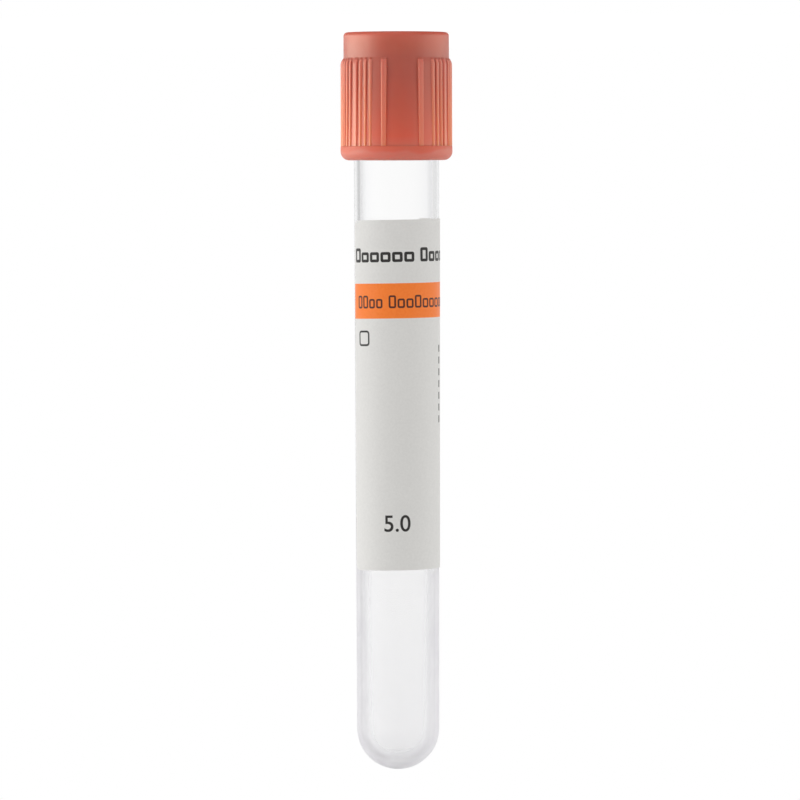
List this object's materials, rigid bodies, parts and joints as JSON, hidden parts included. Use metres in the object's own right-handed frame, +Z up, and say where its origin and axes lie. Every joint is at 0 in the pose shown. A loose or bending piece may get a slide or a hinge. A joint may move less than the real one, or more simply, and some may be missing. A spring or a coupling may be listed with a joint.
{
  "type": "blood collection tube",
  "caption": "Evacuated blood collection tube, standing on its cap: clear round-bottomed tube, ribbed push-on cap with rubber stopper, wrapped paper label with a colour band.",
  "frame": {"origin": "the middle of the cap's flat top, on the surface that the tube stands on upside down", "axes": "+Z up along the tube's axis, from the cap's top to the round bottom; -Y towards the label's front"},
  "size_m": [0.0166, 0.0166, 0.1098],
  "materials": {
    "clear_pet": "clear injection-moulded PET, polished",
    "coral_plastic": "moulded polyethylene, satin",
    "grey_rubber": "moulded butyl rubber, matt",
    "label_paper": "coated label paper, satin, one printed orange band"
  },
  "bodies": {
    "closure": {"cap": "coral_plastic", "stopper": "grey_rubber"},
    "tube_body": {"tube": "clear_pet", "label": "label_paper"}
  },
  "joints": [
    {"name": "closure_pull", "type": "slide", "parent": "closure", "child": "tube_body", "axis": [0, 0, 1], "range_m": [0, 0.03]}
  ]
}
